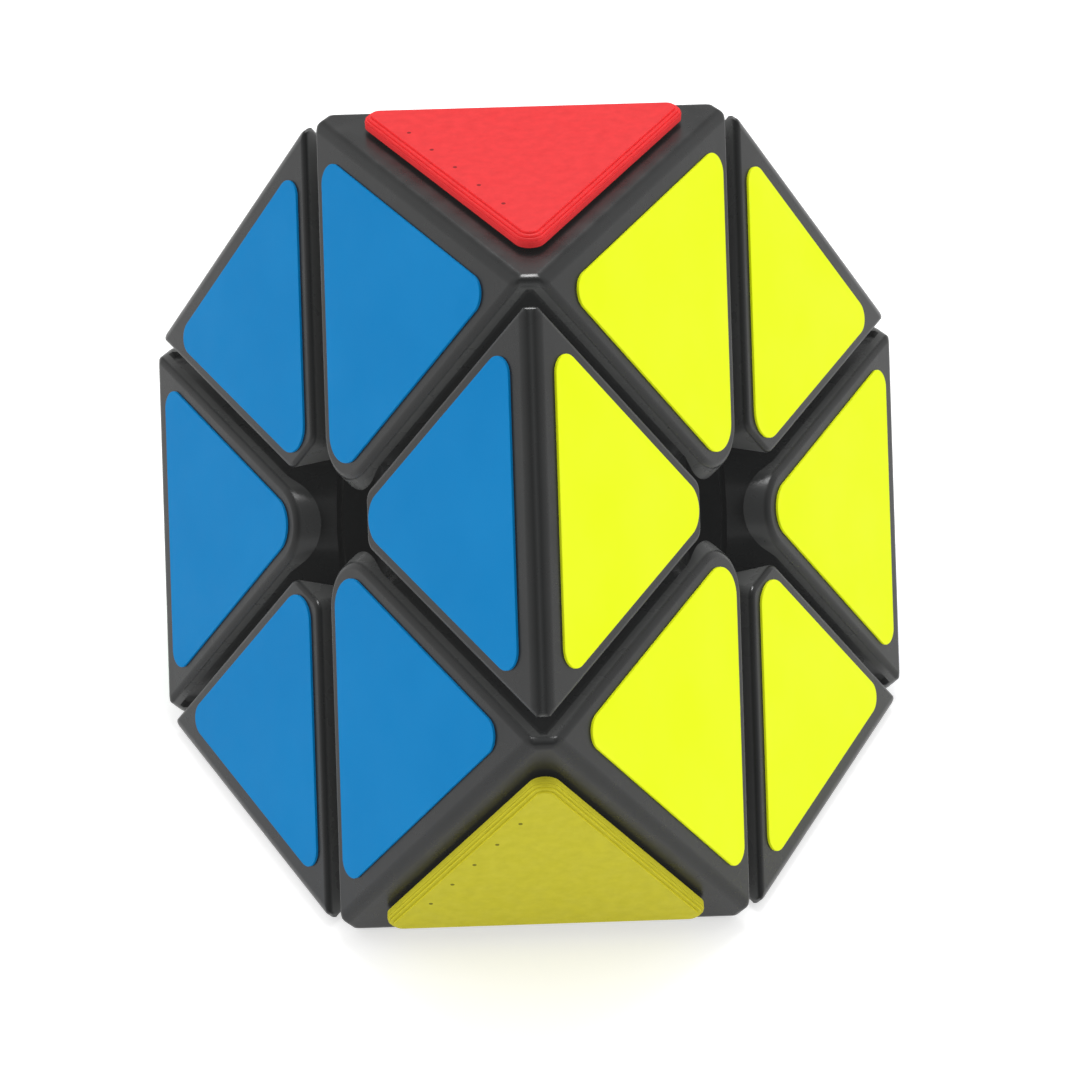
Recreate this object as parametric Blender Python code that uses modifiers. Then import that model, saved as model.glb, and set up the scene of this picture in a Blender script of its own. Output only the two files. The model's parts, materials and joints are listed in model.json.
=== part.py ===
"""Pyramid twisty puzzle with its four tips cut off: a core, four turning corners and six edges.

The centre of the mechanism is the world origin. One axis, "top", points along +Z, "front" leans
towards -Y, and "left" and "right" lean back towards +Y. Every layer turns about one of these axes.
Each hexagonal face is named by its colour and is the one opposite a corner. The puzzle lies on its
red face.
"""

import math

import bmesh
import bpy
from mathutils import Matrix, Vector

MM = 0.001

# ---------------------------------------------------------------------------------------------
# Driving dimensions
# ---------------------------------------------------------------------------------------------

THIRD = 33.0 * MM  # a third of the edge of the full pyramid, so the side of one facet
TRUNCATION = 32.75 * MM  # centre to the flat where a tip is cut off
LAYER = 7.07 * MM  # centre to the middle of the seam under a layer
SEAM = 1.5 * MM  # width of the seam between two outer shells
CORNER_TIP = 4.3 * MM  # middle of a face to the blunt end of a corner facet
EDGE_TIP = 5.3 * MM  # middle of a face to the blunt end of an edge facet
WALL = 1.6 * MM  # thickness of the outer shells
FIT = 0.3 * MM  # gap between two pieces that are joined or that slide on each other

RIDGE_BEVEL = 2.0 * MM  # along the long ridges between two faces
TIP_BEVEL = 1.1 * MM  # around the flat where a tip is cut off
SEAM_BEVEL = 0.5 * MM  # along the seams
BEVEL_SEGMENTS = 2

STICKER_THICK = 0.15 * MM
STICKER_GAP = 0.05 * MM
CORNER_STICKER = {"apex": 3.17 * MM, "base": 25.75 * MM, "apex_radius": 2.34 * MM, "base_radius": 1.45 * MM}
EDGE_STICKER = {"apex": 4.77 * MM, "base": 25.90 * MM, "apex_radius": 2.14 * MM, "base_radius": 1.48 * MM}

CAP_SIDE = 26.0 * MM
CAP_CORNER_RADIUS = 1.2 * MM
CAP_THICK = 1.2 * MM
CAP_LIFT = 0.2 * MM  # gap under the cap
CAP_BEVEL = 0.5 * MM
PLUG_RADIUS = 3.7 * MM
PLUG_LENGTH = 3.4 * MM

# The mechanism is a hollow ball. Between two spheres the layers meet on cones instead of planes,
# so that each edge has a foot caught under the flanges of its two corners.
CORE_RADIUS = 7.5 * MM
ARM_RADIUS = 3.0 * MM
ARM_END = 10.6 * MM
FOOT_INNER = 11.6 * MM
FOOT_OUTER = 14.0 * MM
HUB_INNER = 11.3 * MM
HUB_OUTER = 16.5 * MM
LAYER_CONE = math.radians(68.4)  # half angle of the cone that bounds a layer in the ball
CONE_PLAY = math.radians(0.6)
INNER_SEAM = 0.45 * MM  # seam between the inner pieces, which fit more closely than the shells
INNER_LAYER = 6.73 * MM  # centre to the middle of that seam
FOOT_HALF_LENGTH = 9.0 * MM
NECK_HALF_LENGTH = 7.0 * MM
NECK_TOP = 17.8 * MM
TONGUE_HALF_LENGTH = 5.0 * MM
TONGUE_WIDTH = 1.8 * MM
TONGUE_TOP = 23.0 * MM
HUB_TIP = 4.8 * MM

BOSS_RADIUS = 4.6 * MM
BOSS_TOP = 27.0 * MM
SPRING_BORE = 3.2 * MM  # radius
SPRING_SEAT = 15.0 * MM  # centre to the floor of the bore
SCREW_SHANK = 1.25 * MM  # radius
SCREW_HOLE = SCREW_SHANK + FIT
SCREW_END = 4.6 * MM
SCREW_FLANGE = 2.9 * MM  # radius
SCREW_UNDER_HEAD = 22.2 * MM
SCREW_FLANGE_THICK = 0.8 * MM
SCREW_HEAD = 2.0 * MM  # radius
SCREW_HEAD_HEIGHT = 1.4 * MM
RECESS_LENGTH = 2.4 * MM
RECESS_WIDTH = 0.6 * MM
SPRING_RADIUS = 2.3 * MM  # to the middle of the wire
SPRING_WIRE = 0.25 * MM  # radius of the wire
SPRING_TURNS = 4.5

ROUND_STEPS = 24
BORE_STEPS = 16

# ---------------------------------------------------------------------------------------------
# Worked-out sizes
# ---------------------------------------------------------------------------------------------

FACE = THIRD * 3.0 / (2.0 * math.sqrt(6.0))  # centre to a hexagonal face
CORNER_WALL = LAYER - SEAM / 2.0  # a corner lies below this level of its neighbours' layers
LAYER_FLOOR = LAYER + SEAM / 2.0  # a layer's own shells lie above this level
INNER_WALL = INNER_LAYER - INNER_SEAM / 2.0
INNER_FLOOR = INNER_LAYER + INNER_SEAM / 2.0
CAP_BOTTOM = TRUNCATION + CAP_LIFT

THIRD_ANGLE = math.radians(120.0)
TILT = math.acos(-1.0 / 3.0)  # between two axes
AXIS = {
    "top": Vector((0.0, 0.0, 1.0)),
    "front": Vector((0.0, -math.sin(TILT), math.cos(TILT))),
}
AXIS["right"] = Matrix.Rotation(THIRD_ANGLE, 3, "Z") @ AXIS["front"]
AXIS["left"] = Matrix.Rotation(-THIRD_ANGLE, 3, "Z") @ AXIS["front"]
CORNERS = ("top", "front", "left", "right")
EDGES = (
    ("top", "front"),
    ("top", "left"),
    ("top", "right"),
    ("front", "left"),
    ("front", "right"),
    ("left", "right"),
)
RIDGE = (AXIS["top"] + AXIS["front"]).normalized()  # centre to the middle of the front ridge
ALONG = AXIS["top"].cross(AXIS["front"]).normalized()  # the long way of the front edge's foot

# The face opposite each corner, and the cap on each corner.
FACE_COLOUR = {"right": "blue", "left": "yellow", "front": "green", "top": "red"}
CAP_COLOUR = {"top": "cap_red", "front": "cap_yellow", "left": "cap_green", "right": "cap_blue"}

# ---------------------------------------------------------------------------------------------
# Materials: colour, roughness, metallic
# ---------------------------------------------------------------------------------------------

FINISHES = {
    "shell_black": ((0.030, 0.031, 0.032, 1.0), 0.38, 0.0),
    "inner_black": ((0.022, 0.023, 0.024, 1.0), 0.30, 0.0),
    "core_white": ((0.70, 0.70, 0.67, 1.0), 0.45, 0.0),
    "steel": ((0.62, 0.62, 0.62, 1.0), 0.30, 1.0),
    "blue": ((0.015, 0.230, 0.540, 1.0), 0.42, 0.0),
    "yellow": ((0.830, 1.000, 0.030, 1.0), 0.42, 0.0),
    "green": ((0.020, 0.420, 0.090, 1.0), 0.42, 0.0),
    "red": ((0.620, 0.020, 0.025, 1.0), 0.42, 0.0),
    "cap_red": ((0.900, 0.075, 0.080, 1.0), 0.55, 0.0),
    "cap_yellow": ((0.520, 0.450, 0.045, 1.0), 0.55, 0.0),
    "cap_green": ((0.050, 0.400, 0.110, 1.0), 0.55, 0.0),
    "cap_blue": ((0.040, 0.200, 0.520, 1.0), 0.55, 0.0),
}


def make_materials():
    materials = {}
    for name, (colour, roughness, metallic) in FINISHES.items():
        material = bpy.data.materials.new(name)
        material.use_nodes = True
        shader = material.node_tree.nodes["Principled BSDF"]
        shader.inputs["Base Color"].default_value = colour
        shader.inputs["Roughness"].default_value = roughness
        shader.inputs["Metallic"].default_value = metallic
        material.diffuse_color = colour
        materials[name] = material
    return materials


# ---------------------------------------------------------------------------------------------
# Modelling helpers
# ---------------------------------------------------------------------------------------------


def clear_scene():
    for obj in list(bpy.data.objects):
        bpy.data.objects.remove(obj, do_unlink=True)


def new_collection(name):
    collection = bpy.data.collections.new(name)
    bpy.context.scene.collection.children.link(collection)
    return collection


def helper(name, mesh):
    """A hidden object that shapes a piece or cuts one."""
    obj = bpy.data.objects.new(name, mesh)
    obj.hide_render = True
    obj.display_type = "WIRE"
    CUTTERS.objects.link(obj)
    return obj


def mesh_from(name, bm):
    bmesh.ops.recalc_face_normals(bm, faces=bm.faces)
    mesh = bpy.data.meshes.new(name)
    bm.to_mesh(mesh)
    bm.free()
    return mesh


def evaluated_mesh(obj, name):
    """The mesh of an object with its modifiers applied and its loose caps welded."""
    bpy.context.view_layer.update()
    graph = bpy.context.evaluated_depsgraph_get()
    mesh = bpy.data.meshes.new_from_object(obj.evaluated_get(graph))
    mesh.name = name
    bm = bmesh.new()
    bm.from_mesh(mesh)
    bmesh.ops.remove_doubles(bm, verts=bm.verts, dist=1e-7)
    bm.to_mesh(mesh)
    bm.free()
    return mesh


def block(name, limits):
    """The convex solid where direction . point <= distance for each (direction, distance)."""
    bm = bmesh.new()
    bmesh.ops.create_cube(bm, size=6.0 * THIRD)
    for direction, distance in limits:
        cut = bmesh.ops.bisect_plane(
            bm,
            geom=bm.verts[:] + bm.edges[:] + bm.faces[:],
            plane_co=direction * distance,
            plane_no=direction,
            clear_outer=True,
        )
        rim = [item for item in cut["geom_cut"] if isinstance(item, bmesh.types.BMEdge)]
        bmesh.ops.contextual_create(bm, geom=rim)
    return helper(name, mesh_from(name, bm))


def ball(name, radius):
    bm = bmesh.new()
    bmesh.ops.create_uvsphere(bm, u_segments=ROUND_STEPS, v_segments=ROUND_STEPS // 2, radius=radius)
    return helper(name, mesh_from(name, bm))


def rod(name, radius, low, high, steps=BORE_STEPS, axis=AXIS["top"]):
    """A cylinder along an axis through the centre."""
    bm = bmesh.new()
    place = axis.to_track_quat("Z", "Y").to_matrix().to_4x4()
    place = place @ Matrix.Translation((0.0, 0.0, (low + high) / 2.0))
    bmesh.ops.create_cone(
        bm, cap_ends=True, segments=steps, radius1=radius, radius2=radius, depth=high - low, matrix=place
    )
    return helper(name, mesh_from(name, bm))


def bar(name, across, low, high):
    """A box standing on the top axis, across = (x size, y size)."""
    bm = bmesh.new()
    place = Matrix.Translation((0.0, 0.0, (low + high) / 2.0)) @ Matrix.Diagonal(
        (across[0], across[1], high - low, 1.0)
    )
    bmesh.ops.create_cube(bm, size=1.0, matrix=place)
    return helper(name, mesh_from(name, bm))


def turned(name, profile, steps=BORE_STEPS):
    """A solid turned about Z from a profile at +X, which runs from the top down its outer side."""
    mesh = bpy.data.meshes.new(name)
    points = [(x, 0.0, z) for x, z in profile]
    mesh.from_pydata(points, [(i, i + 1) for i in range(len(points) - 1)], [])
    obj = helper(name, mesh)
    screw = obj.modifiers.new("turn", "SCREW")
    screw.axis = "Z"
    screw.steps = steps
    screw.render_steps = steps
    screw.use_merge_vertices = True
    screw.merge_threshold = 0.00001
    return obj


def layer_cone(name, axis, half_angle, radius):
    """The part of a ball inside a cone about one axis."""
    arc_steps = 10
    profile = []
    for step in range(arc_steps + 1):
        angle = half_angle * step / arc_steps
        profile.append((radius * math.sin(angle), radius * math.cos(angle)))
    profile.append((0.0, 0.0))
    source = turned(name + "_profile", profile, ROUND_STEPS)
    mesh = evaluated_mesh(source, name)
    mesh.transform(axis.to_track_quat("Z", "Y").to_matrix().to_4x4())
    return helper(name, mesh)


def combine(name, base, *steps):
    """The mesh left after each (operation, tool) in turn has acted on the base."""
    for number, (operation, tool) in enumerate(steps):
        modifier = base.modifiers.new(f"{number}_{operation.lower()}", "BOOLEAN")
        modifier.operation = operation
        modifier.object = tool
    mesh = evaluated_mesh(base, name)
    mesh.shade_smooth()
    mesh.set_sharp_from_angle(angle=math.radians(30.0))
    return mesh


def rounded_triangle(apex, base, apex_radius, base_radius, steps=5):
    """Outline of an equilateral triangle with its apex at y = apex and its base at y = base."""
    half_width = (base - apex) * math.tan(math.radians(30.0))
    corners = (
        (0.0, apex, -90.0, apex_radius),
        (half_width, base, 30.0, base_radius),
        (-half_width, base, 150.0, base_radius),
    )
    outline = []
    for x, y, facing, radius in corners:
        out = math.radians(facing)
        middle_x = x - 2.0 * radius * math.cos(out)
        middle_y = y - 2.0 * radius * math.sin(out)
        for step in range(steps + 1):
            angle = math.radians(facing - 60.0 + 120.0 * step / steps)
            outline.append((middle_x + radius * math.cos(angle), middle_y + radius * math.sin(angle)))
    return outline


def plate(name, outline, low, high):
    """A flat plate between two heights, from a closed outline."""
    curve = bpy.data.curves.new(name, "CURVE")
    curve.dimensions = "2D"
    curve.fill_mode = "BOTH"
    curve.extrude = (high - low) / 2.0
    spline = curve.splines.new("POLY")
    spline.points.add(len(outline) - 1)
    for point, (x, y) in zip(spline.points, outline):
        point.co = (x, y, 0.0, 1.0)
    spline.use_cyclic_u = True
    source = helper(name + "_outline", curve)
    mesh = evaluated_mesh(source, name)
    mesh.transform(Matrix.Translation((0.0, 0.0, (low + high) / 2.0)))
    bpy.data.objects.remove(source, do_unlink=True)
    return mesh


def along_face(direction, opposite):
    """The way that a direction points, seen in the face opposite a corner."""
    outward = -AXIS[opposite]
    return (direction - outward * direction.dot(outward)).normalized()


def bevel_outside(obj, outward):
    """Rounds the edges: ridges most, then the rims of the cut-off tips, then the seams."""
    bm = bmesh.new()
    bm.from_mesh(obj.data)
    bm.normal_update()
    weight = bm.edges.layers.float.new("bevel_weight_edge")
    for edge in bm.edges:
        faces = edge.link_faces
        shown = [any((face.normal - way).length < 1e-3 for way in outward) for face in faces]
        if not all(shown):
            edge[weight] = SEAM_BEVEL / RIDGE_BEVEL
        elif faces[0].normal.angle(faces[1].normal) > math.radians(90.0):
            edge[weight] = 1.0
        else:
            edge[weight] = TIP_BEVEL / RIDGE_BEVEL
    bm.to_mesh(obj.data)
    bm.free()
    bevel = obj.modifiers.new("rounding", "BEVEL")
    bevel.limit_method = "WEIGHT"
    bevel.width = RIDGE_BEVEL
    bevel.segments = BEVEL_SEGMENTS


# ---------------------------------------------------------------------------------------------
# Corner pieces, made on the top axis
# ---------------------------------------------------------------------------------------------

SIDES = ("front", "left", "right")


def corner_limits(inset, tip):
    """The planes of a corner piece, each moved in by inset."""
    top = AXIS["top"]
    limits = [(top, TRUNCATION - inset), (-top, -(LAYER_FLOOR + inset))]
    for side in SIDES:
        limits.append((-AXIS[side], FACE - inset))
        limits.append((AXIS[side], CORNER_WALL - inset))
        limits.append((-along_face(top, side), -(tip + inset)))
    return limits


def corner_shell_mesh():
    shell = block("corner_shell_blank", corner_limits(0.0, CORNER_TIP))
    bevel_outside(shell, [AXIS["top"]] + [-AXIS[side] for side in SIDES])
    return combine(
        "corner_shell",
        shell,
        ("DIFFERENCE", block("corner_shell_hollow", corner_limits(WALL, CORNER_TIP))),
        ("DIFFERENCE", ball("corner_shell_seat", HUB_OUTER + FIT)),
        ("DIFFERENCE", rod("cap_hole", PLUG_RADIUS + FIT, TRUNCATION - 2.0 * WALL, TRUNCATION + WALL)),
    )


def corner_hub_mesh():
    top = AXIS["top"]
    limits = [(-top, -INNER_FLOOR)]
    for side in SIDES:
        limits.append((AXIS[side], INNER_WALL))
        limits.append((-along_face(top, side), -HUB_TIP))
    steps = [("INTERSECT", ball("hub_outside", HUB_OUTER))]
    for side in SIDES:
        room = layer_cone(f"foot_room_{side}", AXIS[side], LAYER_CONE + CONE_PLAY, FOOT_OUTER + FIT)
        steps.append(("DIFFERENCE", room))
    steps.append(("DIFFERENCE", ball("hub_inside", HUB_INNER)))
    steps.append(("UNION", rod("hub_boss", BOSS_RADIUS, SPRING_SEAT - WALL, BOSS_TOP)))
    steps.append(("DIFFERENCE", rod("spring_bore", SPRING_BORE, SPRING_SEAT, BOSS_TOP + WALL)))
    steps.append(("DIFFERENCE", rod("hub_screw_hole", SCREW_HOLE, CORE_RADIUS, SPRING_SEAT + WALL)))
    return combine("corner_hub", block("corner_hub_blank", limits), *steps)


def cap_mesh():
    outline = rounded_triangle(
        -CAP_SIDE / math.sqrt(3.0),
        CAP_SIDE / math.sqrt(12.0),
        CAP_CORNER_RADIUS,
        CAP_CORNER_RADIUS,
    )
    cover = helper("cap_cover", plate("cap_plate", outline, CAP_BOTTOM, CAP_BOTTOM + CAP_THICK))
    bevel = cover.modifiers.new("rounding", "BEVEL")
    bevel.width = CAP_BEVEL
    bevel.segments = BEVEL_SEGMENTS
    bevel.angle_limit = math.radians(60.0)
    plug = rod("cap_plug", PLUG_RADIUS, CAP_BOTTOM - PLUG_LENGTH, CAP_BOTTOM + CAP_THICK / 2.0)
    return combine("cap", cover, ("UNION", plug))


def screw_mesh():
    flange_top = SCREW_UNDER_HEAD + SCREW_FLANGE_THICK
    head_top = flange_top + SCREW_HEAD_HEIGHT
    profile = (
        (0.0, head_top),
        (0.8 * SCREW_HEAD, head_top),
        (SCREW_HEAD, head_top - 0.2 * SCREW_HEAD),
        (SCREW_HEAD, flange_top),
        (SCREW_FLANGE, flange_top),
        (SCREW_FLANGE, SCREW_UNDER_HEAD),
        (SCREW_SHANK, SCREW_UNDER_HEAD),
        (SCREW_SHANK, SCREW_END + SCREW_SHANK / 2.0),
        (SCREW_SHANK / 2.0, SCREW_END),
        (0.0, SCREW_END),
    )
    recess_floor = flange_top + 0.3 * SCREW_HEAD_HEIGHT
    slots = []
    for number, across in enumerate(((RECESS_LENGTH, RECESS_WIDTH), (RECESS_WIDTH, RECESS_LENGTH))):
        slots.append(("DIFFERENCE", bar(f"screw_recess_{number}", across, recess_floor, head_top + WALL)))
    return combine("screw", turned("screw_profile", profile), *slots)


def spring_mesh():
    """A coil from the floor of the hub's bore up to the screw's head."""
    points_per_turn = 10
    low = SPRING_SEAT + SPRING_WIRE + FIT / 2.0
    high = SCREW_UNDER_HEAD - SPRING_WIRE - FIT / 2.0
    count = int(points_per_turn * SPRING_TURNS)
    curve = bpy.data.curves.new("spring", "CURVE")
    curve.dimensions = "3D"
    curve.bevel_depth = SPRING_WIRE
    curve.bevel_resolution = 2
    curve.use_fill_caps = True
    spline = curve.splines.new("POLY")
    spline.points.add(count)
    for step, point in enumerate(spline.points):
        angle = math.tau * step / points_per_turn
        height = low + (high - low) * step / count
        point.co = (SPRING_RADIUS * math.cos(angle), SPRING_RADIUS * math.sin(angle), height, 1.0)
    source = helper("spring_wire", curve)
    mesh = evaluated_mesh(source, "spring")
    mesh.shade_smooth()
    bpy.data.objects.remove(source, do_unlink=True)
    return mesh


# ---------------------------------------------------------------------------------------------
# Edge pieces, made on the ridge between the top and front corners
# ---------------------------------------------------------------------------------------------


def edge_limits(inset, tip):
    limits = []
    for corner in ("top", "front"):
        limits.append((-AXIS[corner], -(LAYER_FLOOR + inset)))
    for opposite in ("left", "right"):
        limits.append((-AXIS[opposite], FACE - inset))
        limits.append((-along_face(RIDGE, opposite), -(tip + inset)))
    return limits


def slab(name, half_width, half_length, low, high):
    """A box standing on the ridge's direction, long way along the foot."""
    side = ALONG.cross(RIDGE)
    limits = [(RIDGE, high), (-RIDGE, -low)]
    for way in (ALONG, -ALONG):
        limits.append((way, half_length))
    for way in (side, -side):
        limits.append((way, half_width))
    return block(name, limits)


def edge_shell_mesh():
    shell = block("edge_shell_blank", edge_limits(0.0, EDGE_TIP))
    bevel_outside(shell, [-AXIS["left"], -AXIS["right"]])
    notch = slab("neck_notch", THIRD / 2.0, NECK_HALF_LENGTH + FIT, 0.0, NECK_TOP + FIT)
    return combine(
        "edge_shell",
        shell,
        ("DIFFERENCE", block("edge_shell_hollow", edge_limits(WALL, EDGE_TIP))),
        ("DIFFERENCE", notch),
    )


def edge_foot_mesh():
    foot_cone = LAYER_CONE - CONE_PLAY
    lens = layer_cone("foot_top_cone", AXIS["top"], foot_cone, FOOT_OUTER)
    neck_limits = [(RIDGE, NECK_TOP), (ALONG, NECK_HALF_LENGTH), (-ALONG, NECK_HALF_LENGTH)]
    for corner in ("top", "front"):
        neck_limits.append((-AXIS[corner], -INNER_FLOOR))
    neck_limits.append((-RIDGE, -(FOOT_INNER + WALL)))
    return combine(
        "edge_foot",
        lens,
        ("INTERSECT", layer_cone("foot_front_cone", AXIS["front"], foot_cone, FOOT_OUTER)),
        ("INTERSECT", slab("foot_length", THIRD, FOOT_HALF_LENGTH, 0.0, THIRD)),
        ("DIFFERENCE", ball("foot_inside", FOOT_INNER)),
        ("UNION", block("foot_neck", neck_limits)),
        ("UNION", slab("foot_tongue", TONGUE_WIDTH / 2.0, TONGUE_HALF_LENGTH, NECK_TOP - WALL, TONGUE_TOP)),
    )


# ---------------------------------------------------------------------------------------------
# Stickers and core
# ---------------------------------------------------------------------------------------------


def sticker_mesh(name, shape, towards, opposite):
    """A sticker on the face opposite a corner, its base towards a direction in that face."""
    low = FACE + STICKER_GAP
    mesh = plate(name, rounded_triangle(**shape), low, low + STICKER_THICK)
    outward = -AXIS[opposite]
    up = along_face(towards, opposite)
    across = up.cross(outward)
    mesh.transform(Matrix((across, up, outward)).transposed().to_4x4())
    return mesh


def core_mesh():
    steps = []
    for corner in CORNERS:
        arm = rod(f"core_arm_{corner}", ARM_RADIUS, 0.0, ARM_END, axis=AXIS[corner])
        steps.append(("UNION", arm))
    for corner in CORNERS:
        hole = rod(f"core_hole_{corner}", SCREW_HOLE, SCREW_END - FIT, ARM_END + WALL, axis=AXIS[corner])
        steps.append(("DIFFERENCE", hole))
    return combine("core_spider", ball("core_ball", CORE_RADIUS), *steps)


# ---------------------------------------------------------------------------------------------
# Assembly
# ---------------------------------------------------------------------------------------------


def facing(first, second):
    """A rotation that has one axis along Z and leans towards a second one."""
    lean = (second - first * first.dot(second)).normalized()
    return Matrix((first, lean, first.cross(lean))).transposed()


def turn_to(source, target):
    """The rotation that takes one pair of axes to another pair."""
    start = facing(AXIS[source[0]], AXIS[source[1]])
    return facing(AXIS[target[0]], AXIS[target[1]]) @ start.transposed()


def pivot(name, rotation):
    """An empty at the centre, on every turning axis, that carries one moving piece."""
    empty = bpy.data.objects.new(name, None)
    empty.empty_display_size = THIRD / 2.0
    empty.matrix_basis = rotation.to_4x4()
    PUZZLE.objects.link(empty)
    return empty


def add_part(name, mesh, material, parent=None, rotation=None):
    """One named part. The rotation is in the world, also under a parent."""
    obj = bpy.data.objects.new(name, mesh)
    if not mesh.materials:
        mesh.materials.append(None)
    obj.material_slots[0].link = "OBJECT"
    obj.material_slots[0].material = MATERIALS[material]
    if parent is not None:
        obj.parent = parent
        obj.matrix_basis = parent.matrix_basis.inverted() @ rotation.to_4x4()
    PUZZLE.objects.link(obj)
    return obj


def edge_rotation(first, second, opposite):
    """The rotation that takes the front ridge's blue side to an edge's side opposite a corner."""
    for one, other in ((first, second), (second, first)):
        rotation = turn_to(("top", "right"), (one, opposite))
        if (rotation @ AXIS["front"] - AXIS[other]).length < 1e-3:
            return rotation
    raise ValueError(f"no turn takes the front edge to {first}-{second}")


def add_corners():
    hub = corner_hub_mesh()
    shell = corner_shell_mesh()
    cap = cap_mesh()
    screw = screw_mesh()
    spring = spring_mesh()
    sticker = sticker_mesh("corner_sticker", CORNER_STICKER, AXIS["top"], "right")
    for corner in CORNERS:
        others = [name for name in CORNERS if name != corner]
        rotation = turn_to(("top", "front"), (corner, others[0]))
        empty = pivot(f"turn_{corner}", rotation)
        fixed = pivot(f"axis_{corner}", rotation)
        add_part(f"screw_{corner}", screw, "steel", fixed, rotation)
        add_part(f"spring_{corner}", spring, "steel", fixed, rotation)
        add_part(f"corner_hub_{corner}", hub, "inner_black", empty, rotation)
        add_part(f"corner_shell_{corner}", shell, "shell_black", empty, rotation)
        add_part(f"cap_{corner}", cap, CAP_COLOUR[corner], empty, rotation)
        for opposite in others:
            colour = FACE_COLOUR[opposite]
            turn = turn_to(("top", "right"), (corner, opposite))
            add_part(f"sticker_{colour}_{corner}", sticker, colour, empty, turn)


def add_edges():
    foot = edge_foot_mesh()
    shell = edge_shell_mesh()
    sticker = sticker_mesh("edge_sticker", EDGE_STICKER, RIDGE, "right")
    for first, second in EDGES:
        place = f"{first}_{second}"
        rotation = turn_to(("top", "front"), (first, second))
        empty = pivot(f"turn_{place}", rotation)
        add_part(f"edge_foot_{place}", foot, "inner_black", empty, rotation)
        add_part(f"edge_shell_{place}", shell, "shell_black", empty, rotation)
        for opposite in CORNERS:
            if opposite in (first, second):
                continue
            colour = FACE_COLOUR[opposite]
            turn = edge_rotation(first, second, opposite)
            add_part(f"sticker_{colour}_{place}", sticker, colour, empty, turn)


clear_scene()
PUZZLE = new_collection("Pyramid twisty puzzle")
CUTTERS = new_collection("Cutters")
MATERIALS = make_materials()
add_part("core_spider", core_mesh(), "core_white")
add_corners()
add_edges()
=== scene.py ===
"""Looks of the pyramid twisty puzzle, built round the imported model.

The shells, stickers and caps are made again with finer shapes: rounded facet ends, thin lips along the
seams, rounded rims and printed layers. The hubs, feet, core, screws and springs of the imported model
stay and get better materials. Lengths are in metres. The centre of the mechanism is the origin.
"""

import itertools
import json
import math

import bmesh
import bpy
from mathutils import Matrix, Vector

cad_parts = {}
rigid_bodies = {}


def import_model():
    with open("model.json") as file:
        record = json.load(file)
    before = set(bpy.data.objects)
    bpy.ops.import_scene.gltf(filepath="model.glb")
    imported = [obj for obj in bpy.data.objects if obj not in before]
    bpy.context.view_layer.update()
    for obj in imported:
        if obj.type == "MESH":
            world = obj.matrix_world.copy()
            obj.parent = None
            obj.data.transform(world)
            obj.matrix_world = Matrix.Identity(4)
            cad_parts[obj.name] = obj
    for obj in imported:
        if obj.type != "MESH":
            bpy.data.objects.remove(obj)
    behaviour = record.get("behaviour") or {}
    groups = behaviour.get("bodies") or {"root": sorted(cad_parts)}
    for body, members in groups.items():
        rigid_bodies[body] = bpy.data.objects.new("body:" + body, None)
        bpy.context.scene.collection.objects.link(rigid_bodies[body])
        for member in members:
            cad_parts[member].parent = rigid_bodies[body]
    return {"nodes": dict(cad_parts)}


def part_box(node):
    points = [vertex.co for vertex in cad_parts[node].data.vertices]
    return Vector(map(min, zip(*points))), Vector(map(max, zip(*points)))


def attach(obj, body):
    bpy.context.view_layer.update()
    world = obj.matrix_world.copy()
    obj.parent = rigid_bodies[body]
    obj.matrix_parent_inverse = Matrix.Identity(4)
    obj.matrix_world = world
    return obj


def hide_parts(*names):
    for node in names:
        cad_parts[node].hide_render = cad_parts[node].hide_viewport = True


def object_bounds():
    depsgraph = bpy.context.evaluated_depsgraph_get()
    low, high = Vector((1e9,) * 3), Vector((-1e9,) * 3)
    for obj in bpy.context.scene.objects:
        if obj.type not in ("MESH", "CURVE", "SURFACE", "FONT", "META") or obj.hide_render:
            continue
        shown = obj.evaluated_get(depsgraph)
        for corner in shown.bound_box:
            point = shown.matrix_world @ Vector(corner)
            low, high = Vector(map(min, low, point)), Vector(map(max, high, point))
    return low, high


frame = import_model()
CAD_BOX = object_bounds()

MM = 0.001

# ---------------------------------------------------------------------------------------------
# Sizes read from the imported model
# ---------------------------------------------------------------------------------------------

FACE = -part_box("edge_shell_front_left")[0].z  # centre to a hexagonal face
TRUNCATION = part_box("corner_shell_top")[1].z  # centre to the flat where a tip is cut off
LAYER_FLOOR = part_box("edge_shell_top_front")[0].z  # a layer's own shells lie above this level
CORNER_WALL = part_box("corner_shell_front")[1].z  # a corner lies below this level of other layers
STICKER_TOP = -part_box("sticker_red_front")[0].z

# ---------------------------------------------------------------------------------------------
# Sizes of the finer shapes
# ---------------------------------------------------------------------------------------------

CORNER_TIP_RADIUS = 3.95 * MM  # blunt end of a corner facet, seen along its edge
EDGE_END = 6.2 * MM  # middle of a face to the flat end of an edge facet
EDGE_END_RADIUS = 1.2 * MM  # on both sides of that end
RIDGE_END_RADIUS = 0.35 * MM  # where a ridge runs into the walls at its two ends
PLANES_IN_A_ROUNDING = 14

RIDGE_RADIUS = 1.1 * MM
RIM_RADIUS = 1.1 * MM  # round the flat where a tip is cut off
CORNER_SEAM_RADIUS = 0.65 * MM
EDGE_SEAM_RADIUS = 0.42 * MM
BEVEL_STEPS = 5

SEAM_LIP = 0.95 * MM  # how deep the outer skin's edge shows in a seam
TIP_LIP_SLOPE = 0.20  # it gets deeper by this much towards the blunt ends
TIP_LIP_REACH = 7.0 * MM  # middle of a face to where that starts
UNDERCUT = 0.6 * MM  # the wall below a lip stands this much further back
BODY_TIP_RADIUS = 6.2 * MM  # its blunt end, which stands back much further
BODY_SKIN = 0.5 * MM  # the body's outside lies this deep, inside the skin
WALL = 1.6 * MM

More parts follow.
